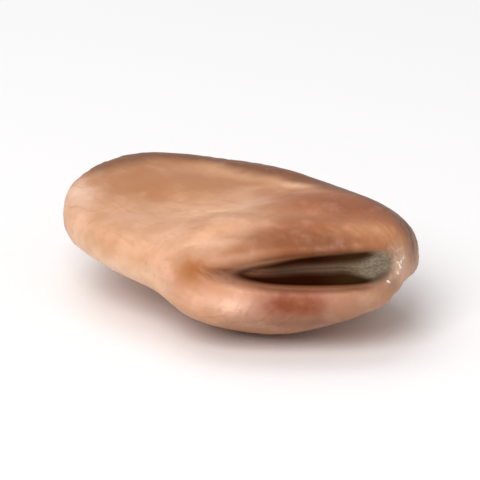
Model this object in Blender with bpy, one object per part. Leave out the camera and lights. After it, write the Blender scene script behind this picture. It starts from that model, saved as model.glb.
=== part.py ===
"""A dried broad bean: the flat seed of the broad bean plant, lying on one of its two broad faces.

The seed grew as one piece, so it is one closed skin. A few driving sizes give its outline and its
thickness. Bells set on them give its swellings and dents. The hilum, the long scar where the seed
hung in its pod, is relief raised on the skin. +X runs along the seed to the thick end that carries
the hilum, and +Z is up.
"""

import math

import bmesh
import bpy
from mathutils import Vector, noise

MM = 0.001

# The whole seed, before its skin swells and dents
LENGTH = 25.5 * MM
WIDTH = 17.0 * MM
THICK_END = 8.8 * MM
THIN_END = 5.6 * MM

# Outline seen from above: a squared ellipse, with swellings at places round it
OUTLINE_SQUARENESS = 2.2
OUTLINE_SWELLS = (
    # towards, reach (degrees), share of the radius
    (42.0, 18.0, 0.036),     # blunt shoulder over the seedling's root
    (16.0, 13.0, -0.034),    # the end, drawn in between the shoulder and the hilum
    (106.0, 34.0, 0.08),     # back, where the two halves are widest
    (-92.0, 22.0, -0.10),    # belly, drawn in beside the hilum
    (-154.0, 17.0, 0.035),   # lower corner of the thin end
)

# The thick end is cut off slantwise by the flat that carries the hilum
FLAT_TOWARDS = math.radians(-42.0)
FLAT_DISTANCE = 9.2 * MM
FLAT_CRISPNESS = 9.0

# Cross-section: both are below 1, which makes the edge blunt and the faces flat
EDGE_FULLNESS = 0.80
FACE_FULLNESS = 0.86

# Where the thickness changes from the thin end's to the thick end's, as shares of half the length
THIN_UNTIL = -0.75
THICK_FROM = 0.62

# The thin end curls up off the surface
CURL_FROM = 0.05
CURL_POWER = 1.5
CURL = 3.0 * MM

# Dents and swellings: middle x and y, reach along and across, turn in degrees, rise
UPPER_RELIEF = (
    (-3.6 * MM, -1.6 * MM, 4.2 * MM, 3.0 * MM, 10.0, -0.70 * MM),  # hollow of the thin end
    (6.2 * MM, 1.6 * MM, 4.0 * MM, 1.5 * MM, 44.0, -0.60 * MM),    # valley behind the hilum
    (-3.4 * MM, 5.6 * MM, 7.0 * MM, 1.7 * MM, 4.0, 1.10 * MM),     # raised far rim
    (3.0 * MM, -5.3 * MM, 2.6 * MM, 0.7 * MM, 46.0, -0.32 * MM),   # crease above the belly
    (1.6 * MM, -3.4 * MM, 2.4 * MM, 1.3 * MM, 40.0, 0.22 * MM),    # hump beside the crease
)
EDGE_RELIEF = (              # lifts both faces and the edge between them
    (-3.4 * MM, -8.8 * MM, 4.8 * MM, 2.4 * MM, -4.0, 1.20 * MM),   # edge beside the belly
    (10.6 * MM, 4.4 * MM, 3.4 * MM, 3.0 * MM, 0.0, 0.95 * MM),     # edge at the blunt end
)
LOWER_RELIEF = (
    (-4.6 * MM, -5.4 * MM, 5.0 * MM, 3.4 * MM, 0.0, -1.50 * MM),   # under the thin end
    (0.6 * MM, -6.6 * MM, 3.2 * MM, 2.4 * MM, 20.0, -1.00 * MM),   # under the belly
    (10.6 * MM, 3.0 * MM, 4.0 * MM, 3.4 * MM, 40.0, -1.50 * MM),   # under the shoulder
    (6.0 * MM, -5.4 * MM, 3.6 * MM, 1.8 * MM, 48.0, -0.45 * MM),   # under the hilum
)

# Shallow waves all over the dried coat
WAVE_SPAN = 6.5 * MM
WAVE_HEIGHT = 0.16 * MM

# The hilum: it is widest this far along the flat and above the surface, and runs from there to
# a pointed tip by the belly and to a blunt end by the shoulder
HILUM_OFFSET = 6.3 * MM
HILUM_HEIGHT = 6.04 * MM
HILUM_SLOPE = 0.02
HILUM_HALF_WIDTH = 0.96 * MM
TIP_LENGTH = 7.8 * MM
TIP_POWERS = (2.6, 1.6)
END_LENGTH = 2.9 * MM
END_POWERS = (3.6, 2.2)
HILUM_SINK = 0.25 * MM
HILUM_CUSHION = 0.20 * MM
HILUM_BANK = 0.36 * MM
LIP_RISE = 0.20 * MM
LIP_SPREAD = 0.80 * MM
LIP_FADE = (3.6 * MM, 1.4 * MM)   # the relief is gone this far behind the flat, whole from here

# A cut at this depth gives the flat spot that the seed rests on
REST_DEPTH = 0.16 * MM

# Quads along each side of the six patches of the skin, and how far they crowd to the hilum
PATCH_QUADS = 26
CROWDING = 0.50

COAT_COLOUR = (0.60, 0.36, 0.22, 1.0)
COAT_ROUGHNESS = 0.45


def bell(distance):
    """1 at no distance, falling smoothly to almost nothing at 2."""
    return math.exp(-distance * distance)


def smooth_step(low, high, value):
    """0 below low, 1 above high, and a smooth rise between them."""
    share = min(1.0, max(0.0, (value - low) / (high - low)))
    return share * share * (3.0 - 2.0 * share)


def turn_between(angle, other):
    """The turn from one angle to another, between half a turn back and half a turn on."""
    return math.remainder(angle - other, math.tau)


def outline_radius(angle):
    """How far the outline is from the seed's middle, that way."""
    along = abs(math.cos(angle)) / (LENGTH / 2)
    across = abs(math.sin(angle)) / (WIDTH / 2)
    power = OUTLINE_SQUARENESS
    radius = (along**power + across**power) ** (-1.0 / power)
    for towards, reach, share in OUTLINE_SWELLS:
        turn = turn_between(angle, math.radians(towards))
        radius *= 1.0 + share * bell(turn / math.radians(reach))
    facing = max(0.0, math.cos(angle - FLAT_TOWARDS))
    crispness = FLAT_CRISPNESS
    cut = (facing / FLAT_DISTANCE) ** crispness
    return (radius**-crispness + cut) ** (-1.0 / crispness)


def half_thickness(x):
    """Half the seed's thickness at its middle line."""
    share = smooth_step(THIN_UNTIL, THICK_FROM, x / (LENGTH / 2))
    return 0.5 * (THIN_END + (THICK_END - THIN_END) * share)


def curl_height(x):
    """How far the seed has curled up off the surface, this far along it."""
    share = max(0.0, CURL_FROM - x / (LENGTH / 2)) / (1.0 + CURL_FROM)
    return CURL * share**CURL_POWER


def relief(features, x, y):
    """The sum of a face's dents and swellings."""
    total = 0.0
    for middle_x, middle_y, along, across, turn, rise in features:
        cosine, sine = math.cos(math.radians(turn)), math.sin(math.radians(turn))
        east, north = x - middle_x, y - middle_y
        u = (east * cosine + north * sine) / along
        v = (north * cosine - east * sine) / across
        total += rise * bell(math.hypot(u, v))
    return total


def skin_point(direction):
    """The place on the skin, before its waves and the hilum, that lies this way from the middle."""
    angle = math.atan2(direction.y, direction.x)
    level = math.hypot(direction.x, direction.y)
    radius = outline_radius(angle) * level**EDGE_FULLNESS
    x, y = radius * math.cos(angle), radius * math.sin(angle)
    side = math.copysign(abs(direction.z) ** FACE_FULLNESS, direction.z)
    half = half_thickness(x)
    z = half + curl_height(x) + side * half + relief(EDGE_RELIEF, x, y)
    if side > 0.0:
        z += side * relief(UPPER_RELIEF, x, y)
    else:
        z += side * relief(LOWER_RELIEF, x, y)
    return Vector((x, y, z))


def flat_axes():
    """Two level directions: out of the flat that carries the hilum, and along it."""
    cosine, sine = math.cos(FLAT_TOWARDS), math.sin(FLAT_TOWARDS)
    return Vector((cosine, sine, 0.0)), Vector((-sine, cosine, 0.0))


def hilum_place(point):
    """Where a point of the skin is in the hilum: along and across, from where it is widest."""
    along = point.dot(flat_axes()[1]) - HILUM_OFFSET
    across = point.z - HILUM_HEIGHT - HILUM_SLOPE * along
    return along, across


def hilum_distance(point):
    """How far outside the hilum's edge a point of the skin is: below 0 inside it."""
    along, across = hilum_place(point)
    length = END_LENGTH if along > 0.0 else TIP_LENGTH
    taper, roundness = END_POWERS if along > 0.0 else TIP_POWERS
    lengthwise = abs(along / length) ** taper
    crosswise = abs(across / HILUM_HALF_WIDTH) ** roundness
    return ((lengthwise + crosswise) ** (1.0 / roundness) - 1.0) * HILUM_HALF_WIDTH


def hilum_relief(point):
    """How far the skin rises at the hilum: a sunk cushion with a raised lip round it."""
    ahead = point.dot(flat_axes()[0])
    gone, whole = LIP_FADE
    share = smooth_step(FLAT_DISTANCE - gone, FLAT_DISTANCE - whole, ahead)
    if share == 0.0:
        return 0.0
    outside = hilum_distance(point)
    inside = smooth_step(HILUM_BANK, -HILUM_BANK, outside)
    depth = min(1.0, -outside / HILUM_HALF_WIDTH)
    cushion = HILUM_CUSHION * (1.0 - (1.0 - depth) ** 2) - HILUM_SINK
    lip = LIP_RISE * bell((outside - LIP_SPREAD) / LIP_SPREAD)
    return share * (lip + (cushion - lip) * inside)


def round_grid():
    """A cube's faces cut into even squares and blown up into a ball of radius 1."""
    grid = bmesh.new()
    bmesh.ops.create_cube(grid, size=2.0)
    bmesh.ops.subdivide_edges(
        grid, edges=grid.edges[:], cuts=PATCH_QUADS - 1, use_grid_fill=True
    )
    for vertex in grid.verts:
        even = [math.tan(part * math.pi / 4) for part in vertex.co]
        vertex.co = Vector(even).normalized()
    return grid


def crowd(direction, towards):
    """Draws a direction nearer to another one, so that the grid is finest there."""
    angle = direction.angle(towards, 0.0)
    if angle < 1e-6 or angle > math.pi - 1e-6:
        return direction
    axis = towards.cross(direction).normalized()
    drawn = angle - CROWDING * math.sin(angle)
    return towards * math.cos(drawn) + axis.cross(towards) * math.sin(drawn)


def make_skin():
    """The seed's closed skin, standing on its flat spot with its middle over the origin."""
    skin = round_grid()
    outwards, onwards = flat_axes()
    hilum_middle = HILUM_OFFSET + (END_LENGTH - TIP_LENGTH) / 2
    towards = (outwards * FLAT_DISTANCE + onwards * hilum_middle).normalized()
    sideways = Vector((-towards.y, towards.x, 0.0))
    for vertex in skin.verts:
        ahead, left, up = vertex.co
        turned = towards * ahead + sideways * left + Vector((0.0, 0.0, up))
        vertex.co = skin_point(crowd(turned, towards))
    skin.normal_update()
    rises = [
        WAVE_HEIGHT * noise.noise(vertex.co / WAVE_SPAN) + hilum_relief(vertex.co)
        for vertex in skin.verts
    ]
    for vertex, rise in zip(skin.verts, rises):
        vertex.co += vertex.normal * rise

    lowest = min(vertex.co.z for vertex in skin.verts) + REST_DEPTH
    for vertex in skin.verts:
        vertex.co.z = max(0.0, vertex.co.z - lowest)
    middle = Vector(
        [
            (min(v.co[i] for v in skin.verts) + max(v.co[i] for v in skin.verts)) / 2
            for i in (0, 1)
        ]
        + [0.0]
    )
    bmesh.ops.translate(skin, verts=skin.verts[:], vec=-middle)
    bmesh.ops.recalc_face_normals(skin, faces=skin.faces[:])
    return skin


def coat_material():
    """The dried coat: pinkish tan, with a soft sheen."""
    material = bpy.data.materials.new("seed_coat")
    material.use_nodes = True
    shader = material.node_tree.nodes["Principled BSDF"]
    shader.inputs["Base Color"].default_value = COAT_COLOUR
    shader.inputs["Roughness"].default_value = COAT_ROUGHNESS
    shader.inputs["Metallic"].default_value = 0.0
    return material


def make_bean():
    """The seed as one named object."""
    skin = make_skin()
    mesh = bpy.data.meshes.new("broad_bean")
    skin.to_mesh(mesh)
    skin.free()
    mesh.shade_smooth()
    mesh.materials.append(coat_material())
    bean = bpy.data.objects.new("broad_bean", mesh)
    bpy.context.scene.collection.objects.link(bean)
    return bean


for leftover in list(bpy.data.objects):
    bpy.data.objects.remove(leftover)
make_bean()
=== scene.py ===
"""The looks of a dried broad bean, laid out as an add-on and run as a script.

The coat is grown on the solid's own surface: its faces are made smooth and fine, and a tree of
geometry nodes then raises the relief that a dried coat has, with the hilum's crease, cushion and
slit, soft dents and wrinkles. One more tree strews the corky crumbs that the seed's stalk left at
the blunt end of the hilum. Formulas below work in millimetres, in the solid's own frame: +X runs
along the seed to its thick end and +Z is up.
"""

import math

import bmesh
import bpy
from bpy.props import FloatProperty, FloatVectorProperty, PointerProperty
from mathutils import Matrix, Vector


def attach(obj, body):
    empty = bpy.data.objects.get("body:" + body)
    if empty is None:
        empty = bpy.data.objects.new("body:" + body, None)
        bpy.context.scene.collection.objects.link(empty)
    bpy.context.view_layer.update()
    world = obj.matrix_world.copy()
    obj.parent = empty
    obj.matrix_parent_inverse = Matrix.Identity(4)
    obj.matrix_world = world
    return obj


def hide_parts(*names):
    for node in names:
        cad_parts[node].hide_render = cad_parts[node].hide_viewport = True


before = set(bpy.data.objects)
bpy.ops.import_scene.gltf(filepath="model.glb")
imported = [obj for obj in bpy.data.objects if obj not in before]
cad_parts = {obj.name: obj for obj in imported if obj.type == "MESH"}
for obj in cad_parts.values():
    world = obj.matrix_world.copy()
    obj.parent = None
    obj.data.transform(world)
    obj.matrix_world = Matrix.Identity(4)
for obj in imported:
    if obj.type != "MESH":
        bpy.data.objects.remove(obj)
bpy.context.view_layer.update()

bl_info = {
    "name": "Dried broad bean",
    "version": (1, 0, 0),
    "blender": (4, 5, 0),
    "location": "3D View > Sidebar > Bean",
    "description": "Grows the coat of a dried broad bean and lights it in a plain studio",
    "category": "Object",
}

SOLID = "broad_bean"
BODY = "root"
COAT = "dried_coat"
CRUMBS = "stalk_crumbs"
MM = 0.001

# The coat's mesh: vertices this near are one, triangles join where they are this flat and this
# even, and the quads are then divided this often
WELD = 1e-6
JOIN_FLATNESS = math.radians(50.0)
JOIN_EVENNESS = math.radians(60.0)
COAT_LEVELS = 2

# The hilum on the solid, in millimetres: where it is widest, and the level ways along and out of it
HILUM_MIDDLE = (10.74, -0.87, 5.91)
HILUM_ANGLE = math.radians(42.0)
HILUM_ONWARDS = (math.sin(HILUM_ANGLE), math.cos(HILUM_ANGLE))
HILUM_OUTWARDS = (math.cos(HILUM_ANGLE), -math.sin(HILUM_ANGLE))
HILUM_SLOPE = 0.02
HILUM_HALF_WIDTH = 0.96
# The length and the powers of its pointed tip, and the same of its blunt end
HILUM_TIP = (7.8, 2.6, 1.6)
HILUM_END = (2.9, 3.6, 2.2)
# Where it fades in: out of the seed, and along it for the blunt end, the sides and the corky cap
HILUM_NEAR = (-3.6, -1.4)
HILUM_END_FROM = (0.9, 2.2)
HILUM_SIDES_FROM = (-7.8, -5.0)
HILUM_CAP_FROM = (1.8, 2.8)

# The hilum's relief: the coat's own ends across its edge, the crease lies this far inside the edge
# and the lip this far outside it, and slit and pad come in where the hilum is this deep
RELIEF_WITHIN = (0.10, -0.10)
CREASE_INSIDE, CREASE_WIDTH = 0.06, 0.18
LIP_OUTSIDE, LIP_WIDTH = 0.60, 0.40
SLIT_WIDTH = 0.10
SLIT_DEEP = (0.15, 0.45)
PAD_DEEP = (0.0, 0.7)
# The coat's relief: how sharp the folds are, their middle height and where they lie, and what
# shares of the user's heights and depths the lesser forms have
FOLD_SHARPNESS = 6.0
FOLD_LEVEL = 0.12
FOLDED = (0.42, 0.66)
RIPPLE_SHARE = 0.35
LIP_SHARE = 0.35
PAD_SHARE = 0.6
# The relief fades out where the seed lies on the floor, between these heights
REST_FADE = (0.02, 0.8)

# The crumbs: how far outside the hilum's edge and how far below its middle they lie, each with a
# width, their lumps, the least and the most of their three sizes, and their finish
CRUMB_SEED = 4
CRUMB_RING = (0.14, 0.16)
CRUMB_BELOW = (0.20, 0.55)
CRUMB_LUMPS = 1.3
CRUMB_RAGGEDNESS = 1.1
CRUMB_LEAST = (0.6, 0.35, 0.25)
CRUMB_MOST = (1.3, 0.9, 0.5)
CRUMB_CLOUD = (0.4, 0.65)
CRUMB_SHADE = "C9A888"
CRUMB_ROUGHNESS = 0.6

# The rounded oblong, seen from above, along which the upper face turns down. Between the two
# places of the shoulder along the seed it comes nearer.
RIM_MIDDLE = (1.95, -2.84)
RIM_REACH = (13.96, 8.13)
RIM_TURN = 0.06
RIM_POWER = 4.56
RIM_SHOULDER = (8.0, 11.2)
RIM_NEARER = 0.08

# Smooth noises: the width of their lumps, in millimetres but for the floor's in metres, then their
# detail, roughness, seed and stretch. A seed shifts its noise by so many steps.
EVEN = (1.0, 1.0, 1.0)
NOISES = {
    "floor": (0.08, 1.0, 0.5, 0.0, EVEN),
    "dents": (4.2, 1.0, 0.5, 1.0, EVEN),
    "streaks": (1.0, 2.0, 0.5, 2.0, (2.6, 1.0, 1.3)),
    "folded": (5.0, 0.0, 0.5, 3.0, EVEN),
    "ripples": (0.55, 1.0, 0.5, 4.0, EVEN),
    "wide": (5.5, 2.0, 0.5, 5.0, EVEN),
    "clouds": (2.0, 4.0, 0.55, 6.0, EVEN),
    "grain": (0.45, 4.0, 0.6, 7.0, EVEN),
    "fibres": (0.5, 3.0, 0.5, 8.0, (4.0, 1.0, 1.6)),
    "cork": (0.30, 2.0, 0.5, 9.0, EVEN),
    "crumb": (0.4, 2.0, 0.5, 10.0, EVEN),
    "threads": (0.22, 2.0, 0.5, 11.0, (1.0, 1.0, 0.35)),
}
NOISE_STEP = (17.3, -9.1, 5.7)
NOISE_MIDDLE = (0.5, 0.5, 0.5)

# The drift that bends the edges of the coat's colours: its scale, its detail, and how far it moves
# what follows it loosely and what follows it firmly
DRIFT_SCALE = 0.45
DRIFT_DETAIL = 2.0
DRIFT_LOOSE = 2.4
DRIFT_FIRM = 0.9

# Zones of the coat, each a product of smooth rises: along what, where it is 0 and where it is 1
ZONES = {
    "peach": (("wide", 0.36, 0.62),),
    "dull": (("behind", 1.0, 3.8), ("east", 1.8, -2.6), ("height", 5.4, 6.2)),
    "flush": (("onwards", -0.9, 3.6), ("height", 6.3, 7.3)),
    "margin": (("rim", 0.66, 0.78), ("rim", 0.92, 0.84), ("east", 3.5, 0.5), ("east", -9.0, -6.0)),
    # Darker towards the bottom, here and in the bulge below: partly the coat's own brown, partly
    # painted shade
    "underneath": (("height", 3.6, 1.2),),
    "bulge": (("height", 5.2, 4.0), ("onwards", 4.0, 8.5)),
    "waist": (("east", -7.5, -2.5), ("east", 7.0, 4.0)),
    "mottle": (("clouds", 0.60, 0.42),),
    "light": (("clouds", 0.50, 0.70),),
    "fibres": (("fibres", 0.56, 0.70),),
    "grain": (("grain", 0.60, 0.74),),
    "corner": (("across", -0.1, -0.6), ("along", 1.2, 2.0)),
}
# Tints over the coat: how strong each is at most, and its colour
TINTS = {
    "flush": (0.92, "A45C34"),
    "margin": (0.5, "DDAE88"),
    # Partly the lip's own paler colour, partly painted highlight
    "lips": (0.85, "F3B596"),
    # Partly the underside's own brown, partly painted shade
    "underneath": (0.7, "9C6648"),
    # A browner far rim: partly its own colour, partly painted shade where the rim turns away from
    # the light
    "brim": (0.9, "6A3F28"),
    "cream": (0.6, "EACDB2"),
    "light": (0.14, "F0C6A6"),
    "fibres": (0.22, "A9714A"),
    "grain": (0.20, "9A6642"),
    # The brown round the hilum: its own colour, and painted shade on the upper side of the blunt
    # end
    "halo": (0.9, "6B3812"),
    "threads": (0.45, "4E4336"),
    "corner": (0.8, "5A463A"),
    "slit": (0.5, "2A1D16"),
}
# How strong the user's brown is in the dull zone and in the mottling
DULL_SHARE = 0.85
MOTTLE_SHARE = 0.22
# Single spots: their middle, their reach along, across and up, and their turn in degrees
BLOTCH = ((9.3, -4.4, 3.9), (3.1, 2.4, 1.6), 48.0)
CREAM = ((-3.0, -8.6, 3.8), (4.6, 2.0, 1.1), 4.0)
LINE = ((5.9, -6.7, 5.95), (0.9, 0.25, 0.16), 48.0)
LINE_COLOUR = "70380E"
CAP_COLOUR = "E2C6AE"
# The cushion's colour at the hilum's tip, and from where to where along it the next ones come in
CUSHION_TIP = "80503A"
# The lighter greys toward the blunt end are partly the cushion's own colour and partly painted
# sheen
CUSHION_STEPS = (
    (-6.2, -4.2, "54392C"),
    (-4.2, 0.0, "6A5240"),
    (-1.0, 1.8, "867866"),
)
HILUM_END_COLOUR = "33200F"
# The pale lip below the hilum, partly its own colour and partly painted highlight, and the russet
# blotch: what the clouds add to its least strength
LIPS_WIDTH = 1.9
LIPS_BELOW = (0.2, -0.6)
LIPS_ALONG = (2.0, -2.5)
BLOTCH_LEAST = 0.70
BLOTCH_CLOUDS = 0.8
# The underside's share in the bulge, and the brim: how much nearer it lies at the waist, between
# which rim distances it comes and goes and how far it goes, and how it fades toward the front and
# downward, where only its least part is left
BULGE_SHARE = 0.5
WAIST_INWARDS = 0.055
BRIM_FROM = (0.81, 0.93)
BRIM_UNTIL = (0.99, 1.14)
BRIM_GONE = 0.85
BRIM_NORTH = (-4.2, -1.8)
BRIM_HIGH = (4.4, 6.5)
BRIM_LOW = (2.2, 4.2)
BRIM_LEAST, BRIM_HIGHER = 0.4, 0.6
# The hilum's upper side, the brown round its edge, the edge itself and the cushion's edge, each as
# a smooth rise across, then the threads in the cushion and the width of the painted slit
ABOVE = (-0.1, 0.4)
HALO_FROM = (0.42, -0.08)
EDGE = (0.0, -0.22)
CUSHION_EDGE = (0.28, -0.18)
CUSHION_INSIDE = (-0.06, -0.34)
THREADS_FROM = (0.40, 0.64)
SLIT_LINE = 0.06
# The corky cap: how far outside the hilum's edge it lies, over what width and how far up and down,
# and how strong it is at least and with its lumps of cork
CAP_OUTSIDE, CAP_WIDTH = 0.16, 0.20
CAP_REACH = 0.75
CORK_FROM = (0.46, 0.58)
CAP_LEAST, CAP_CORK = 0.3, 0.6

# Patches of colour in the coat: how they follow the drift ("place" is not at all), their middle,
# reach and turn as in the spots, their strength and their colour. Each lies over the last.
BROAD_PATCHES = (
    ("loose", (7.2, 3.7, 7.5), (3.6, 1.8, 3.0), 38.0, 0.75, "80442A"),
    ("firm", (10.2, 1.6, 7.3), (3.0, 1.1, 2.0), 66.0, 0.85, "CC9168"),
    ("loose", (-3.6, -0.4, 6.4), (3.2, 1.5, 2.0), 45.0, 0.5, "C98E5E"),
    ("loose", (-1.2, -3.2, 6.7), (3.0, 1.7, 2.0), 40.0, 0.7, "F2BE98"),
    ("loose", (-9.6, -5.6, 6.1), (2.3, 1.2, 1.3), -40.0, 0.8, "F4CFB6"),
)
SMALL_PATCHES = (
    ("firm", (5.5, -0.1, 7.9), (2.0, 1.1, 1.5), 46.0, 0.4, "CC8E66"),
    ("firm", (2.2, 2.7, 7.7), (2.0, 0.6, 1.5), 38.0, 0.4, "E0A884"),
    ("firm", (-1.4, -3.8, 6.5), (1.5, 0.6, 1.2), 20.0, 0.3, "F0C09C"),
    ("firm", (-5.0, -1.7, 6.2), (1.8, 0.8, 1.5), 46.0, 0.35, "B87A4C"),
    ("firm", (0.5, -2.0, 7.1), (1.8, 0.6, 1.5), 5.0, 0.5, "F0BE98"),
    ("firm", (1.8, -5.1, 7.3), (2.6, 0.7, 1.2), 10.0, 0.6, "C88C60"),
    ("firm", (7.0, -3.7, 7.3), (4.3, 1.2, 1.3), 50.0, 1.0, "82400E"),
    # Painted shadow along the hilum's upper edge
    ("firm", (9.35, -1.45, 7.4), (3.0, 0.65, 0.5), 48.0, 0.65, "703E24"),
)
LOW_PATCHES = (
    # A painted highlight on the bulging lip below the hilum
    ("firm", (6.3, -7.2, 4.0), (1.7, 1.3, 0.7), 48.0, 0.8, "FFD0B4"),
    # Painted shade along the near lower edge of the thick end
    ("firm", (10.0, -3.4, 2.2), (5.0, 2.8, 0.95), 48.0, 0.9, "4C2E1C"),
    # Painted shade along the near lower edge, toward the thin end
    ("firm", (2.6, -8.9, 4.6), (2.2, 1.2, 0.7), 10.0, 0.4, "B88460"),
    ("place", (3.9, -6.15, 7.0), (2.0, 0.65, 1.0), 24.0, 0.85, "FFCBA8"),
    ("place", (6.1, -5.5, 7.05), (1.3, 0.6, 0.5), 48.0, 0.8, "9C5E34"),
    # A painted highlight just below the far rim
    ("firm", (1.0, 3.6, 7.4), (1.5, 0.6, 1.5), 30.0, 0.8, "F0C09C"),
    ("firm", (4.4, -7.8, 5.7), (2.5, 1.3, 1.05), 40.0, 1.0, "A05C26"),
    # Grey-brown round the blunt end of the hilum: partly the coat's own colour, partly painted
    # shade inside the outline
    ("firm", (11.8, 0.3, 4.8), (1.7, 0.8, 0.9), 64.0, 0.85, "7C6054"),
    # Painted shade at the lower side of the blunt end, in the same grey-brown
    ("firm", (11.3, -0.9, 3.9), (1.3, 0.9, 0.8), 64.0, 0.5, "86685A"),
)

# The coat's sheen: its least roughness, what clouds and grain add to it, and its specular level
ROUGHNESS_LEAST = 0.26
ROUGHNESS_CLOUDS = 0.22
ROUGHNESS_GRAIN = 0.10
COAT_SPECULAR = 0.28
SCAR_ROUGHNESS = 0.6
SCAR_SPECULAR = 0.0
# The coat's fine bump: what grain and fibres add to it, its strength and its height
BUMP_GRAIN = 0.55
BUMP_FIBRES = 0.35
BUMP_STRENGTH = 0.55
BUMP_HEIGHT = 0.06 * MM

# The studio, in metres: what the camera looks at, and each light's name, its way to the right,
# toward the camera and up, its size, its watts and its colour
TARGET = (-0.20 * MM, -0.22 * MM, 4.4 * MM)
LIGHTS = (
    ("key", (-0.10, 0.26, 0.28), 0.24, 1.08, (1.0, 0.985, 0.99)),
    ("fill", (-0.10, -0.10, 0.40), 0.30, 0.42, (1.0, 0.99, 0.99)),
)
SKY_COLOUR = (1.0, 0.99, 0.99, 1.0)
SKY_STRENGTH = 0.46
FLOOR_HALF_WIDTH = 1.5
FLOOR_SQUARES = 4
FLOOR_ROUGHNESS = 0.7
FLOOR_CLOUD = 0.02
FLOOR_SHADE = (0.8, 0.8, 0.8, 1.0)
SENSOR_WIDTH = 36.0
CLIP_START, CLIP_END = 0.01, 20.0

# The Texture Coordinate node's output that gives places on the object itself
OBJECT_COORDINATES = 3


def paint(code):
    """A colour from its hex code, as the scene's linear values."""
    levels = [int(code[start : start + 2], 16) / 255 for start in (0, 2, 4)]
    linear = [((v + 0.055) / 1.055) ** 2.4 if v > 0.04045 else v / 12.92 for v in levels]
    return (*linear, 1.0)


# Formulas as node trees


class Wire:
    """An output in a node tree. Arithmetic on wires adds the tree's Math nodes."""

    def __init__(self, maker, socket):
        self.maker = maker
        self.socket = socket

    def _math(self, operation, *values):
        sockets = dict(enumerate(values))
        return self.maker.node("ShaderNodeMath", {"operation": operation}, sockets)

    def __add__(self, other):
        return self._math("ADD", self, other)

    def __sub__(self, other):
        return self._math("SUBTRACT", self, other)

    def __rsub__(self, other):
        return self._math("SUBTRACT", other, self)

    def __mul__(self, other):
        return self._math("MULTIPLY", self, other)

    def __truediv__(self, other):
        return self._math("DIVIDE", self, other)

    def __rtruediv__(self, other):
        return self._math("DIVIDE", other, self)

    def __pow__(self, power):
        return self._math("POWER", self, power)

    def __neg__(self):
        return self * -1.0

    def __abs__(self):
        return self._math("ABSOLUTE", self)

    def __gt__(self, other):
        return self._math("GREATER_THAN", self, other)

    def least(self, other):
        """The smaller of the two."""
        return self._math("MINIMUM", self, other)

    def most(self, other):
        """The larger of the two."""
        return self._math("MAXIMUM", self, other)

    def exponential(self):
        """e to this power."""
        return self._math("EXPONENT", self)

    def bell(self):
        """1 at 0, falling smoothly to almost nothing at 2."""
        return (-(self * self)).exponential()

    def rise(self, low, high):
        """0 at low, 1 at high, and a smooth rise between them."""
        return self.maker.node(
            "ShaderNodeMapRange",
            {"interpolation_type": "SMOOTHSTEP"},
            {"Value": self, "From Min": low, "From Max": high},
        )


class Maker:
    """Adds nodes to one tree: each gets its settings first and then the values of its sockets."""

    def __init__(self, tree):
        self.tree = tree
        self.tree.nodes.clear()

    def node(self, kind, settings=None, sockets=None, output=0):
        """A new node of this kind, as the wire of one of its outputs."""
        made = self.tree.nodes.new(kind)
        for name, value in (settings or {}).items():
            setattr(made, name, value)
        for name, value in (sockets or {}).items():
            if isinstance(value, Wire):
                self.tree.links.new(value.socket, made.inputs[name])
            else:
                made.inputs[name].default_value = value
        return Wire(self, made.outputs[output]) if made.outputs else made

    def parts(self, vector):
        """The three numbers of a vector."""
        first = self.node("ShaderNodeSeparateXYZ", {}, {0: vector})
        return [Wire(self, output) for output in first.socket.node.outputs]

    def joined(self, x, y, z):
        """A vector of three numbers."""
        return self.node("ShaderNodeCombineXYZ", {}, {0: x, 1: y, 2: z})

    def vector(self, operation, *values):
        """Vector Math on vectors, or on a vector and a number given last for SCALE."""
        names = [0, 1] if operation != "SCALE" else [0, "Scale"]
        return self.node("ShaderNodeVectorMath", {"operation": operation}, dict(zip(names, values)))

    def noise(self, place, name):
        """One of the smooth noises, from 0 to 1."""
        span, detail, roughness, seed, stretch = NOISES[name]
        shifted = self.vector("ADD", place, tuple(seed * step for step in NOISE_STEP))
        scaled = self.vector("MULTIPLY", shifted, tuple(1.0 / share for share in stretch))
        sockets = {"Vector": scaled, "Scale": 1.0 / span, "Detail": detail, "Roughness": roughness}
        return self.node("ShaderNodeTexNoise", {"noise_dimensions": "3D"}, sockets)

    def mix(self, share, below, above):
        """One colour below another, by a share from 0 to 1."""
        sockets = {0: share, 6: below, 7: above}
        settings = {"data_type": "RGBA", "clamp_factor": True}
        return self.node("ShaderNodeMix", settings, sockets, output=2)


class Hilum:
    """Where each point lies in the hilum, as wires in one tree."""

    def __init__(self, maker, place):
        x, y, z = maker.parts(place)
        east, north = x - HILUM_MIDDLE[0], y - HILUM_MIDDLE[1]
        self.along = east * HILUM_ONWARDS[0] + north * HILUM_ONWARDS[1]
        ahead = east * HILUM_OUTWARDS[0] + north * HILUM_OUTWARDS[1]
        self.across = z - HILUM_MIDDLE[2] - self.along * HILUM_SLOPE
        self.near = ahead.rise(*HILUM_NEAR)
        blunt = self.along > 0.0
        length, taper, roundness = (
            blunt * (end - tip) + tip for tip, end in zip(HILUM_TIP, HILUM_END)
        )
        lengthwise = abs(self.along / length) ** taper
        crosswise = abs(self.across / HILUM_HALF_WIDTH) ** roundness
        shell = (lengthwise + crosswise) ** (1.0 / roundness)
        self.outside = (shell - 1.0) * HILUM_HALF_WIDTH
        self.depth = (1.0 - shell).most(0.0)
        self.end = self.along.rise(*HILUM_END_FROM)
        self.sides = self.along.rise(*HILUM_SIDES_FROM) * (1.0 - self.end) * self.near


# Settings that a user may change


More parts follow.
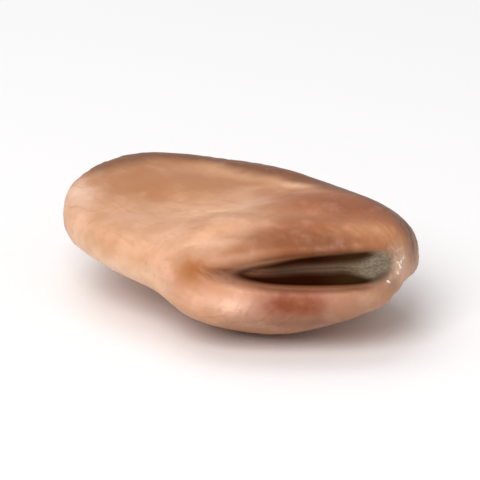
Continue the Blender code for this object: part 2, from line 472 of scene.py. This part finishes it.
class CoatSettings(bpy.types.PropertyGroup):
    """The dried coat's relief and colours."""

    dent_height: FloatProperty(
        name="Dent height",
        description="How far the soft dents of the dried coat rise and fall",
        default=0.10 * MM, min=0.0, subtype="DISTANCE", unit="LENGTH", precision=6,
    )
    wrinkle_height: FloatProperty(
        name="Wrinkle height",
        description="How far the wrinkles stand up from the coat",
        default=0.080 * MM, min=0.0, subtype="DISTANCE", unit="LENGTH", precision=6,
    )
    crease_depth: FloatProperty(
        name="Crease depth",
        description="How deep the crease round the hilum is",
        default=0.16 * MM, min=0.0, subtype="DISTANCE", unit="LENGTH", precision=6,
    )
    slit_depth: FloatProperty(
        name="Slit depth",
        description="How deep the slit down the middle of the hilum is",
        default=0.10 * MM, min=0.0, subtype="DISTANCE", unit="LENGTH", precision=6,
    )
    tan: FloatVectorProperty(
        name="Tan", description="The coat's own colour", default=paint("D09B74"),
        size=4, min=0.0, max=1.0, subtype="COLOR",
    )
    peach: FloatVectorProperty(
        name="Peach", description="The coat's lighter, pinkish places", default=paint("E2B090"),
        size=4, min=0.0, max=1.0, subtype="COLOR",
    )
    brown: FloatVectorProperty(
        name="Brown", description="The coat's dull brown blotches", default=paint("B0764D"),
        size=4, min=0.0, max=1.0, subtype="COLOR",
    )
    russet: FloatVectorProperty(
        name="Russet", description="The red-brown round the hilum", default=paint("7E2C04"),
        size=4, min=0.0, max=1.0, subtype="COLOR",
    )
    hilum: FloatVectorProperty(
        name="Hilum", description="The near-black of the hilum", default=paint("250C03"),
        size=4, min=0.0, max=1.0, subtype="COLOR",
    )


class CrumbSettings(bpy.types.PropertyGroup):
    """The corky crumbs at the hilum's blunt end."""

    size: FloatProperty(
        name="Crumb size", description="Half the length of a middling crumb",
        default=0.15 * MM, min=0.0, subtype="DISTANCE", unit="LENGTH", precision=6,
    )
    crowd: FloatProperty(
        name="Crumbs per area", description="How many crumbs lie on a square metre of the rim",
        default=3.0e6, min=0.0,
    )
    cork: FloatVectorProperty(
        name="Cork", description="The crumbs' colour", default=paint("F0E4D6"),
        size=4, min=0.0, max=1.0, subtype="COLOR",
    )


class StudioSettings(bpy.types.PropertyGroup):
    """The camera, the floor and the lights."""

    azimuth: FloatProperty(
        name="Azimuth", description="How far the camera has gone round from the front",
        default=math.radians(48.0), subtype="ANGLE", unit="ROTATION",
    )
    elevation: FloatProperty(
        name="Elevation", description="How far the camera stands above the level",
        default=math.radians(22.0), subtype="ANGLE", unit="ROTATION",
    )
    distance: FloatProperty(
        name="Distance", description="From the camera to the seed",
        default=0.55, min=0.1, subtype="DISTANCE", unit="LENGTH",
    )
    view_width: FloatProperty(
        name="View width", description="How wide the picture is at the seed",
        default=30.3 * MM, min=0.001, subtype="DISTANCE", unit="LENGTH", precision=5,
    )
    floor_colour: FloatVectorProperty(
        name="Floor", description="The floor's colour", default=(0.96, 0.96, 0.96, 1.0),
        size=4, min=0.0, max=1.0, subtype="COLOR",
    )


# The coat's mesh


def copy_of_solid():
    """The solid's skin as quads, its loose triangles merged, in a new object."""
    skin = bmesh.new()
    skin.from_mesh(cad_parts[SOLID].data)
    bmesh.ops.remove_doubles(skin, verts=skin.verts[:], dist=WELD)
    bmesh.ops.join_triangles(
        skin,
        faces=skin.faces[:],
        angle_face_threshold=JOIN_FLATNESS,
        angle_shape_threshold=JOIN_EVENNESS,
    )
    bmesh.ops.recalc_face_normals(skin, faces=skin.faces[:])
    mesh = bpy.data.meshes.new("coat")
    skin.to_mesh(mesh)
    skin.free()
    mesh.materials.clear()
    mesh.shade_smooth()
    coat = bpy.data.objects.new("coat", mesh)
    bpy.context.scene.collection.objects.link(coat)
    return coat


def new_tree(name, numbers):
    """A tree of geometry nodes with these named number inputs, and its maker and inputs."""
    tree = bpy.data.node_groups.new(name, "GeometryNodeTree")
    tree.interface.new_socket("Geometry", in_out="OUTPUT", socket_type="NodeSocketGeometry")
    tree.interface.new_socket("Geometry", in_out="INPUT", socket_type="NodeSocketGeometry")
    for label, value in numbers.items():
        socket = tree.interface.new_socket(label, in_out="INPUT", socket_type="NodeSocketFloat")
        socket.default_value = value
    tree.interface.new_socket("Material", in_out="INPUT", socket_type="NodeSocketMaterial")
    maker = Maker(tree)
    first = maker.node("NodeGroupInput")
    inputs = {s.name: Wire(maker, s) for s in first.socket.node.outputs if s.name}
    return tree, maker, inputs


def close_tree(maker, geometry, material):
    """Ends a tree: instances become mesh, and the mesh gets its material."""
    whole = maker.node("GeometryNodeRealizeInstances", {}, {"Geometry": geometry})
    finished = maker.node(
        "GeometryNodeSetMaterial", {}, {"Geometry": whole, "Material": material}
    )
    maker.node("NodeGroupOutput", {}, {"Geometry": finished})


def grown(source, name, tree, values):
    """The plain mesh object that a tree makes of a source object. The source is removed."""
    modifier = source.modifiers.new(name, "NODES")
    modifier.node_group = tree
    for item in tree.interface.items_tree:
        if item.in_out == "INPUT" and item.name in values:
            modifier[item.identifier] = values[item.name]
    source.update_tag()
    bpy.context.view_layer.update()
    shape = source.evaluated_get(bpy.context.evaluated_depsgraph_get())
    mesh = bpy.data.meshes.new_from_object(shape)
    mesh.name = name
    piece = bpy.data.objects.new(name, mesh)
    bpy.context.scene.collection.objects.link(piece)
    source.modifiers.remove(modifier)
    bpy.data.objects.remove(source)
    return piece


def relief_tree():
    """The dried coat's relief: the hilum, soft dents and wrinkles, moved along the normals."""
    tree, maker, given = new_tree(
        "coat_relief",
        {"Dent Height": 0.0, "Wrinkle Height": 0.0, "Crease Depth": 0.0, "Slit Depth": 0.0},
    )
    position = maker.node("GeometryNodeInputPosition")
    place = maker.vector("SCALE", position, 1.0 / MM)
    normal = maker.node("GeometryNodeInputNormal")
    height = maker.parts(place)[2]
    hilum = Hilum(maker, place)
    within = hilum.outside.rise(*RELIEF_WITHIN) * hilum.near

    dents = maker.noise(place, "dents") * 2.0 - 1.0
    streaks = maker.noise(place, "streaks")
    folds = (1.0 - abs(streaks * 2.0 - 1.0)) ** FOLD_SHARPNESS
    where = maker.noise(place, "folded").rise(*FOLDED)
    ripples = maker.noise(place, "ripples") - 0.5

    crease = ((hilum.outside + CREASE_INSIDE) / CREASE_WIDTH).bell() * hilum.sides
    lip = ((hilum.outside - LIP_OUTSIDE) / LIP_WIDTH).bell() * hilum.sides
    slit = (hilum.across / SLIT_WIDTH).bell() * within * hilum.depth.rise(*SLIT_DEEP)
    pad = hilum.depth.rise(*PAD_DEEP) * hilum.near

    calm = 1.0 - within
    relief = dents * given["Dent Height"] * calm
    relief = relief + (folds * where - FOLD_LEVEL) * given["Wrinkle Height"] * calm
    relief = relief + ripples * given["Wrinkle Height"] * RIPPLE_SHARE * calm
    relief = relief - crease * given["Crease Depth"]
    relief = relief + lip * given["Crease Depth"] * LIP_SHARE
    relief = relief - slit * given["Slit Depth"]
    relief = relief + pad * given["Slit Depth"] * PAD_SHARE
    relief = relief * height.rise(*REST_FADE)

    offset = maker.vector("SCALE", normal, relief)
    moved = maker.node(
        "GeometryNodeSetPosition", {}, {"Geometry": given["Geometry"], "Offset": offset}
    )
    close_tree(maker, moved, given["Material"])
    return tree


def crumb_tree():
    """Small corky flakes on the coat, round the blunt end of the hilum."""
    tree, maker, given = new_tree(CRUMBS, {"Crumb Size": 0.0, "Crumbs Per Area": 0.0})
    place = maker.vector("SCALE", maker.node("GeometryNodeInputPosition"), 1.0 / MM)
    hilum = Hilum(maker, place)
    outside, outside_width = CRUMB_RING
    below, below_width = CRUMB_BELOW
    ring = ((hilum.outside - outside) / outside_width).bell()
    ring = ring * hilum.along.rise(*HILUM_CAP_FROM) * hilum.near
    ring = ring * ((hilum.across + below) / below_width).bell()
    points = maker.node(
        "GeometryNodeDistributePointsOnFaces",
        {"distribute_method": "RANDOM"},
        {"Mesh": given["Geometry"], "Density": ring * given["Crumbs Per Area"], "Seed": CRUMB_SEED},
    )
    turned = Wire(maker, points.socket.node.outputs["Rotation"])
    flake = maker.node("GeometryNodeMeshIcoSphere", {}, {"Radius": 1.0, "Subdivisions": 1})
    own = maker.node("GeometryNodeInputPosition")
    rough = maker.node(
        "ShaderNodeTexNoise", {}, {"Vector": own, "Scale": CRUMB_LUMPS, "Detail": 1.0}, output=1
    )
    rough = maker.vector("SUBTRACT", rough, NOISE_MIDDLE)
    flake = maker.node(
        "GeometryNodeSetPosition",
        {},
        {"Geometry": flake, "Offset": maker.vector("SCALE", rough, CRUMB_RAGGEDNESS)},
    )
    spread = maker.node(
        "FunctionNodeRandomValue",
        {"data_type": "FLOAT_VECTOR"},
        {0: CRUMB_LEAST, 1: CRUMB_MOST, "Seed": CRUMB_SEED + 1},
    )
    spin = maker.node(
        "FunctionNodeRandomValue",
        {"data_type": "FLOAT"},
        {2: 0.0, 3: math.tau, "Seed": CRUMB_SEED + 2},
        output=1,
    )
    turn = maker.node(
        "FunctionNodeRotateRotation",
        {"rotation_space": "LOCAL"},
        {0: turned, 1: maker.joined(0.0, 0.0, spin)},
    )
    strewn = maker.node(
        "GeometryNodeInstanceOnPoints",
        {},
        {
            "Points": points,
            "Instance": flake,
            "Rotation": turn,
            "Scale": maker.vector("SCALE", spread, given["Crumb Size"]),
        },
    )
    close_tree(maker, strewn, given["Material"])
    return tree


# The materials


def new_material(name):
    """A new material, the maker of its tree, and the object's own coordinates there."""
    material = bpy.data.materials.new(name)
    material.use_nodes = True
    maker = Maker(material.node_tree)
    return material, maker, maker.node("ShaderNodeTexCoord", output=OBJECT_COORDINATES)


def crumb_material(settings):
    """Pale cork, a little browner in places."""
    material, maker, coordinates = new_material("cork_crumbs")
    place = maker.vector("SCALE", coordinates, 1.0 / MM)
    cloud = maker.noise(place, "crumb").rise(*CRUMB_CLOUD)
    colour = maker.mix(cloud, settings.cork, paint(CRUMB_SHADE))
    shader = maker.node(
        "ShaderNodeBsdfPrincipled", {}, {"Base Color": colour, "Roughness": CRUMB_ROUGHNESS}
    )
    maker.node("ShaderNodeOutputMaterial", {}, {"Surface": shader})
    return material


def plain_material(name, colour, roughness):
    """One colour with a faint cloudiness, for what stands round the seed."""
    material, maker, coordinates = new_material(name)
    cloud = maker.noise(coordinates, "floor") * FLOOR_CLOUD
    shade = maker.mix(cloud, tuple(colour), FLOOR_SHADE)
    shader = maker.node(
        "ShaderNodeBsdfPrincipled", {}, {"Base Color": shade, "Roughness": roughness}
    )
    maker.node("ShaderNodeOutputMaterial", {}, {"Surface": shader})
    return material


def spot(maker, place, middle, reach, turn):
    """1 at a place on the coat, fading out at its reach along, across and up."""
    cosine, sine = math.cos(math.radians(turn)), math.sin(math.radians(turn))
    x, y, z = maker.parts(maker.vector("SUBTRACT", place, middle))
    u = (x * cosine + y * sine) / reach[0]
    v = (y * cosine - x * sine) / reach[1]
    w = z / reach[2]
    return (-(u * u + v * v + w * w)).exponential()


def patched(maker, colour, guide, patches):
    """The colour with a table of patches over it."""
    for name, middle, reach, turn, strength, code in patches:
        share = spot(maker, guide[name], middle, reach, turn) * strength
        colour = maker.mix(share, colour, paint(code))
    return colour


def zone(guide, name):
    """1 inside one of the coat's zones and 0 outside it."""
    share = None
    for wire, low, high in ZONES[name]:
        edge = guide[wire].rise(low, high)
        share = edge if share is None else share * edge
    return share


def tinted(maker, colour, share, name):
    """The colour with one of the tints over it, as far as the share lets it."""
    strength, code = TINTS[name]
    return maker.mix(share * strength, colour, paint(code))


def rim_distance(maker, place):
    """About 1 where the upper face turns down at the far side and the thin end, less inside it."""
    x, y, _ = maker.parts(place)
    lengthwise = abs((x - RIM_MIDDLE[0]) / RIM_REACH[0])
    crosswise = abs((y - x * RIM_TURN - RIM_MIDDLE[1]) / RIM_REACH[1])
    oblong = (lengthwise ** RIM_POWER + crosswise ** RIM_POWER) ** (1.0 / RIM_POWER)
    return oblong + x.rise(*RIM_SHOULDER) * RIM_NEARER


def coat_guide(maker, place, hilum):
    """What the coat's colours are laid out by: places, ways along and across, and noises."""
    drift = maker.node(
        "ShaderNodeTexNoise",
        {},
        {"Vector": place, "Scale": DRIFT_SCALE, "Detail": DRIFT_DETAIL},
        output=1,
    )
    drift = maker.vector("SUBTRACT", drift, NOISE_MIDDLE)
    loose = maker.vector("ADD", place, maker.vector("SCALE", drift, DRIFT_LOOSE))
    firm = maker.vector("ADD", place, maker.vector("SCALE", drift, DRIFT_FIRM))
    east, north, height = maker.parts(loose)
    guide = {"place": place, "firm": firm, "loose": loose}
    guide |= {"east": east, "north": north, "height": height}
    guide |= {"along": hilum.along, "across": hilum.across}
    guide["rim"] = rim_distance(maker, firm)
    guide["onwards"] = east * HILUM_ONWARDS[0] + north * HILUM_ONWARDS[1]
    guide["behind"] = -(east * HILUM_OUTWARDS[0] + north * HILUM_OUTWARDS[1])
    for name in ("wide", "clouds", "grain", "fibres"):
        guide[name] = maker.noise(place, name)
    return guide


def skin_colour(maker, settings, guide, hilum):
    """Tan and peach, dull at the back, with the patches and the russet below the hilum."""
    colour = maker.mix(zone(guide, "peach"), settings.tan, settings.peach)
    colour = maker.mix(zone(guide, "dull") * DULL_SHARE, colour, settings.brown)
    colour = tinted(maker, colour, zone(guide, "flush"), "flush")
    colour = patched(maker, colour, guide, BROAD_PATCHES)
    colour = tinted(maker, colour, zone(guide, "margin"), "margin")
    colour = patched(maker, colour, guide, SMALL_PATCHES)
    # The pale lip below the hilum: partly its own colour, partly painted highlight where it bulges
    # toward the light
    lips = (hilum.outside / LIPS_WIDTH).bell() * hilum.across.rise(*LIPS_BELOW) * hilum.near
    lips = lips * hilum.along.rise(*LIPS_ALONG)
    colour = tinted(maker, colour, lips, "lips")
    blotch = spot(maker, guide["firm"], *BLOTCH)
    blotch = blotch * (guide["clouds"] * BLOTCH_CLOUDS + BLOTCH_LEAST)
    colour = maker.mix(blotch, colour, settings.russet)
    return patched(maker, colour, guide, LOW_PATCHES)


def mottled_and_shaded(maker, colour, settings, guide):
    """The colour, browner below and along the rim, in part as painted shade, with cream, mottling
    and grain.
    """
    height, rim = guide["height"], guide["rim"]
    # Browner towards the bottom: partly the coat's own colour, partly painted shade
    underneath = zone(guide, "underneath") + zone(guide, "bulge") * BULGE_SHARE
    colour = tinted(maker, colour, underneath.least(1.0), "underneath")
    inwards = zone(guide, "waist") * WAIST_INWARDS
    # The brim: a browner far rim, partly the coat's own colour and partly painted shade where it
    # turns away
    brim = (rim + inwards).rise(*BRIM_FROM) * (1.0 - rim.rise(*BRIM_UNTIL) * BRIM_GONE)
    brim = brim * guide["north"].rise(*BRIM_NORTH)
    brim = brim * (height.rise(*BRIM_HIGH) * BRIM_HIGHER + BRIM_LEAST) * height.rise(*BRIM_LOW)
    colour = tinted(maker, colour, brim, "brim")
    colour = tinted(maker, colour, spot(maker, guide["loose"], *CREAM), "cream")
    colour = maker.mix(zone(guide, "mottle") * MOTTLE_SHARE, colour, settings.brown)
    for name in ("light", "fibres", "grain"):
        colour = tinted(maker, colour, zone(guide, name), name)
    return colour


def scar_colour(maker, settings, guide, hilum, brink):
    """Near-black, with the cushion that widens to the blunt end, its threads and the slit.

    The numbers in its formulas are places along the hilum and distances across it, in
    millimetres: the cushion's centre line, half its width and the two sides where it is less.
    """
    along = hilum.along
    centre = along.rise(-5.0, -2.5) * 0.13 + 0.14 - along.rise(-0.8, 1.6) * 0.25
    growth = (along + 0.8).most(0.0)
    half = along.rise(-5.0, -0.5) * 0.08 + 0.12 + growth * growth * 0.085
    aside = hilum.across - centre
    half = half - aside.rise(0.0, 0.25) * along.rise(-4.0, -2.0) * 0.09
    half = half - aside.rise(0.0, -0.25) * along.rise(-1.2, 0.0) * 0.07
    wedge = (abs(aside) - half).rise(*CUSHION_EDGE)
    wedge = (wedge * brink.rise(*CUSHION_INSIDE)).most(hilum.end)

    # The cushion's greys, lighter toward the blunt end: partly its own colour, partly painted sheen
    cushion = paint(CUSHION_TIP)
    for start, end, code in CUSHION_STEPS:
        cushion = maker.mix(along.rise(start, end), cushion, paint(code))
    threads = maker.noise(guide["place"], "threads").rise(*THREADS_FROM)
    cushion = tinted(maker, cushion, threads, "threads")
    cushion = tinted(maker, cushion, zone(guide, "corner"), "corner")

    black = maker.mix(along.rise(-2.5, 0.5), settings.hilum, paint(HILUM_END_COLOUR))
    scar = maker.mix(wedge * along.rise(-7.4, -6.0), black, cushion)
    slit = (aside / SLIT_LINE).bell() * along.rise(0.9, -0.4)
    return tinted(maker, scar, slit, "slit")


def hilum_colour(maker, colour, settings, guide, hilum):
    """The colour with the hilum over it, and how far each point is within its black edge.

    The numbers in its formulas are places along the hilum and distances across it, in
    millimetres: where the halo is less, where the edge is sunk and how the blunt end is drawn in.
    """
    colour = maker.mix(spot(maker, guide["place"], *LINE), colour, paint(LINE_COLOUR))
    along, outside = hilum.along, hilum.outside

    above = hilum.across.rise(*ABOVE)
    # The brown round the hilum's edge is the coat's own; over the blunt end it stays on the upper
    # side as painted shade
    halo = outside.rise(*HALO_FROM) * hilum.near * (1.0 - hilum.end * (1.0 - above) * 0.7)
    halo = halo * (1.0 - above * along.rise(-4.0, -5.6) * 0.2)
    halo = halo * (1.0 - along.rise(-0.3, 1.5) * 0.4)
    colour = tinted(maker, colour, halo, "halo")

    sunk = above * ((along + 4.9) / 1.6).bell() * 0.09
    sunk = sunk + (1.0 - above) * along.rise(-5.0, -3.0) * along.rise(1.0, -1.0) * 0.04
    brink = (outside + sunk - hilum.end * 0.16) / (hilum.end * 0.9 + 1.0)
    within = brink.rise(*EDGE) * hilum.near
    colour = maker.mix(within, colour, scar_colour(maker, settings, guide, hilum, brink))

    cork = maker.noise(guide["place"], "cork").rise(*CORK_FROM)
    cap = ((outside - CAP_OUTSIDE) / CAP_WIDTH).bell() * along.rise(*HILUM_CAP_FROM) * hilum.near
    cap = cap * (hilum.across / CAP_REACH).bell()
    return maker.mix(cap * (cork * CAP_CORK + CAP_LEAST), colour, paint(CAP_COLOUR)), within


def coat_material(settings):
    """Tan and peach with brown blotches, russet round the near-black hilum, and a satin sheen."""
    material, maker, coordinates = new_material("seed_coat_dried")
    place = maker.vector("SCALE", coordinates, 1.0 / MM)
    hilum = Hilum(maker, place)
    guide = coat_guide(maker, place, hilum)
    colour = skin_colour(maker, settings, guide, hilum)
    colour = mottled_and_shaded(maker, colour, settings, guide)
    colour, within = hilum_colour(maker, colour, settings, guide, hilum)

    clouds, grain = guide["clouds"], guide["grain"]
    roughness = clouds * ROUGHNESS_CLOUDS + grain * ROUGHNESS_GRAIN + ROUGHNESS_LEAST
    bumps = grain * BUMP_GRAIN + guide["fibres"] * BUMP_FIBRES
    bump = {"Strength": BUMP_STRENGTH, "Distance": BUMP_HEIGHT, "Height": bumps}
    looks = {"Base Color": colour, "Normal": maker.node("ShaderNodeBump", {}, bump)}
    coat = looks | {"Roughness": roughness, "Specular IOR Level": COAT_SPECULAR}
    scar = looks | {"Roughness": SCAR_ROUGHNESS, "Specular IOR Level": SCAR_SPECULAR}
    finishes = [maker.node("ShaderNodeBsdfPrincipled", {}, finish) for finish in (coat, scar)]
    shader = maker.node("ShaderNodeMixShader", {}, {0: within, 1: finishes[0], 2: finishes[1]})
    maker.node("ShaderNodeOutputMaterial", {}, {"Surface": shader})
    return material


# The operators of the two pieces


class BEAN_OT_grow_coat(bpy.types.Operator):
    """Grow the dried coat on the seed's solid"""

    bl_idname = "bean.grow_coat"
    bl_label = "Grow coat"

    def execute(self, context):
        settings = context.scene.bean_coat
        source = copy_of_solid()
        smoother = source.modifiers.new("fine", "SUBSURF")
        smoother.levels = COAT_LEVELS
        smoother.render_levels = COAT_LEVELS
        coat = grown(
            source,
            COAT,
            relief_tree(),
            {
                "Dent Height": settings.dent_height,
                "Wrinkle Height": settings.wrinkle_height,
                "Crease Depth": settings.crease_depth,
                "Slit Depth": settings.slit_depth,
                "Material": coat_material(settings),
            },
        )
        if len(coat.data.polygons) == 0:
            raise RuntimeError("the coat came out empty")
        coat.data.shade_smooth()
        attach(coat, BODY)
        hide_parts(SOLID)
        return {"FINISHED"}


class BEAN_OT_strew_crumbs(bpy.types.Operator):
    """Strew the corky crumbs of the stalk at the blunt end of the hilum"""

    bl_idname = "bean.strew_crumbs"
    bl_label = "Strew crumbs"

    def execute(self, context):
        settings = context.scene.bean_crumbs
        ground = bpy.data.objects.get(COAT)
        if ground is None:
            raise RuntimeError("grow the coat first")
        source = ground.copy()
        source.data = ground.data.copy()
        source.parent = None
        bpy.context.scene.collection.objects.link(source)
        crumbs = grown(
            source,
            CRUMBS,
            crumb_tree(),
            {
                "Crumb Size": settings.size,
                "Crumbs Per Area": settings.crowd,
                "Material": crumb_material(settings),
            },
        )
        if len(crumbs.data.polygons) == 0:
            raise RuntimeError("no crumbs were strewn")
        crumbs.data.shade_smooth()
        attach(crumbs, BODY)
        return {"FINISHED"}


# The studio


def soft_light(name, place, target, size, power, colour):
    """A square soft light that faces the target."""
    lamp = bpy.data.lights.new(name, "AREA")
    lamp.size = size
    lamp.energy = power
    lamp.color = colour
    light = bpy.data.objects.new(name, lamp)
    light.location = place
    light.rotation_euler = (target - place).to_track_quat("-Z", "Y").to_euler()
    bpy.context.scene.collection.objects.link(light)


class BEAN_OT_set_studio(bpy.types.Operator):
    """Set up the floor, the lights and the camera"""

    bl_idname = "bean.set_studio"
    bl_label = "Set studio"

    def execute(self, context):
        scene = context.scene
        settings = scene.bean_studio
        ground = bmesh.new()
        bmesh.ops.create_grid(
            ground, x_segments=FLOOR_SQUARES, y_segments=FLOOR_SQUARES, size=FLOOR_HALF_WIDTH
        )
        mesh = bpy.data.meshes.new("floor")
        ground.to_mesh(mesh)
        ground.free()
        white = plain_material("floor_white", settings.floor_colour, FLOOR_ROUGHNESS)
        mesh.materials.append(white)
        floor = bpy.data.objects.new("floor", mesh)
        scene.collection.objects.link(floor)

        cosine, sine = math.cos(settings.azimuth), math.sin(settings.azimuth)
        level = math.cos(settings.elevation)
        back = Vector((sine * level, -cosine * level, math.sin(settings.elevation)))
        right = Vector((cosine, sine, 0.0))
        toward = Vector((sine, -cosine, 0.0))
        up = Vector((0.0, 0.0, 1.0))
        target = Vector(TARGET)

        world = bpy.data.worlds.new("studio")
        world.use_nodes = True
        sky = world.node_tree.nodes["Background"]
        sky.inputs["Color"].default_value = SKY_COLOUR
        sky.inputs["Strength"].default_value = SKY_STRENGTH
        scene.world = world
        for name, ways, size, power, colour in LIGHTS:
            place = right * ways[0] + toward * ways[1] + up * ways[2]
            soft_light(name, place, target, size, power, colour)

        lens = bpy.data.cameras.new("camera")
        lens.sensor_width = SENSOR_WIDTH
        lens.lens = lens.sensor_width * settings.distance / settings.view_width
        lens.clip_start, lens.clip_end = CLIP_START, CLIP_END
        camera = bpy.data.objects.new("camera", lens)
        camera.location = target + back * settings.distance
        camera.rotation_euler = (-back).to_track_quat("-Z", "Y").to_euler()
        scene.collection.objects.link(camera)
        scene.camera = camera
        scene.view_settings.view_transform = "Standard"
        return {"FINISHED"}


class BEAN_PT_tools(bpy.types.Panel):
    """Lists the bean's operators and settings"""

    bl_idname = "BEAN_PT_tools"
    bl_label = "Dried broad bean"
    bl_space_type = "VIEW_3D"
    bl_region_type = "UI"
    bl_category = "Bean"

    def draw(self, context):
        layout = self.layout
        for settings, operator in (
            (context.scene.bean_coat, BEAN_OT_grow_coat),
            (context.scene.bean_crumbs, BEAN_OT_strew_crumbs),
            (context.scene.bean_studio, BEAN_OT_set_studio),
        ):
            box = layout.box()
            for name in settings.__annotations__:
                box.prop(settings, name)
            box.operator(operator.bl_idname)


CLASSES = (
    CoatSettings,
    CrumbSettings,
    StudioSettings,
    BEAN_OT_grow_coat,
    BEAN_OT_strew_crumbs,
    BEAN_OT_set_studio,
    BEAN_PT_tools,
)


def register():
    """Adds the classes, and their settings to the scene."""
    for kind in CLASSES:
        bpy.utils.register_class(kind)
    bpy.types.Scene.bean_coat = PointerProperty(type=CoatSettings)
    bpy.types.Scene.bean_crumbs = PointerProperty(type=CrumbSettings)
    bpy.types.Scene.bean_studio = PointerProperty(type=StudioSettings)


def unregister():
    """Takes the settings and the classes away again."""
    del bpy.types.Scene.bean_studio
    del bpy.types.Scene.bean_crumbs
    del bpy.types.Scene.bean_coat
    for kind in reversed(CLASSES):
        bpy.utils.unregister_class(kind)


def main():
    """Makes every piece and the studio."""
    register()
    bpy.ops.bean.grow_coat()
    bpy.ops.bean.strew_crumbs()
    bpy.ops.bean.set_studio()


if __name__ == "__main__":
    main()
